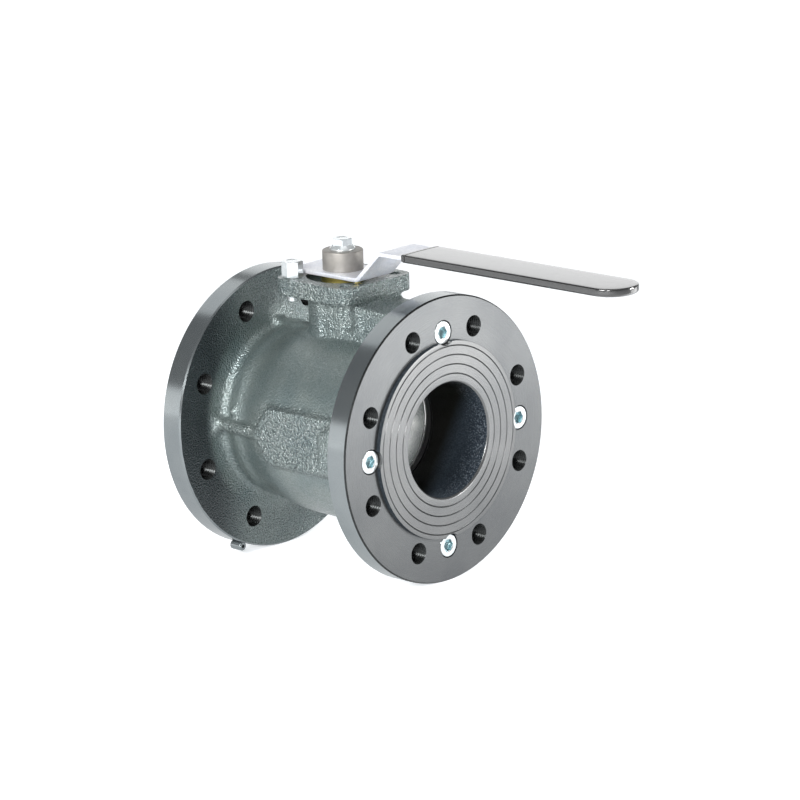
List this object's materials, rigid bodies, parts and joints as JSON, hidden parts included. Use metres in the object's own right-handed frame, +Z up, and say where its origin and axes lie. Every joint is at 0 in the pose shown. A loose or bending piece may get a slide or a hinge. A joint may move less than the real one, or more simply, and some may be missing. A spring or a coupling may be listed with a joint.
{
  "type": "flanged ball valve",
  "caption": "Quarter-turn shut-off valve with two round pipe flanges, a ball inside a cast body and a flat hand lever with a dipped grip.",
  "frame": {"origin": "centre of the rear flange's raised sealing face, on the flow axis", "axes": "+X along the flow passage from the rear to the front flange, +Z up the stem, +Y completes the right hand; lever open along +X"},
  "size_m": [0.347, 0.2, 0.23],
  "materials": {
    "casting": "grey-green paint over rough casting, machined flange rims and faces",
    "insert": "turned face with gasket grooves, painted bore",
    "elastomer": "satin",
    "zinc_steel": "bright zinc plating",
    "ball": "polished stainless steel",
    "ptfe": "smooth dark grey, carbon-filled PTFE",
    "stainless": "turned stainless steel",
    "brass": "turned brass",
    "zinc_lever": "zinc plated sheet with a faint blue and straw tint",
    "grip": "glossy black dipped vinyl"
  },
  "bodies": {
    "housing": {"body": "casting", "end_insert": "insert", "insert_seal_ring": "elastomer", "insert_screws": "zinc_steel", "seat_ring_rear": "ptfe", "seat_ring_front": "ptfe", "seat_spring_ring_rear": "elastomer", "seat_spring_ring_front": "elastomer", "thrust_washer": "ptfe", "stem_bearing": "ptfe", "gland_ring": "brass", "dust_seal": "elastomer", "stop_screw": "zinc_steel", "stop_nut": "zinc_steel", "seal_peg": "casting"},
    "lever_and_ball": {"ball": "ball", "stem": "stainless", "stem_o_ring_lower": "elastomer", "stem_o_ring_upper": "elastomer", "antistatic_spring": "stainless", "antistatic_ball": "stainless", "lever": "zinc_lever", "grip_sleeve": "grip", "hub_collar": "stainless", "lever_bolt": "zinc_steel"}
  },
  "joints": [
    {"name": "lever_turn", "type": "hinge", "parent": "housing", "child": "lever_and_ball", "pos_m": [0.085, 0, 0], "axis": [0, 0, 1], "range_deg": [-90, 0]}
  ]
}
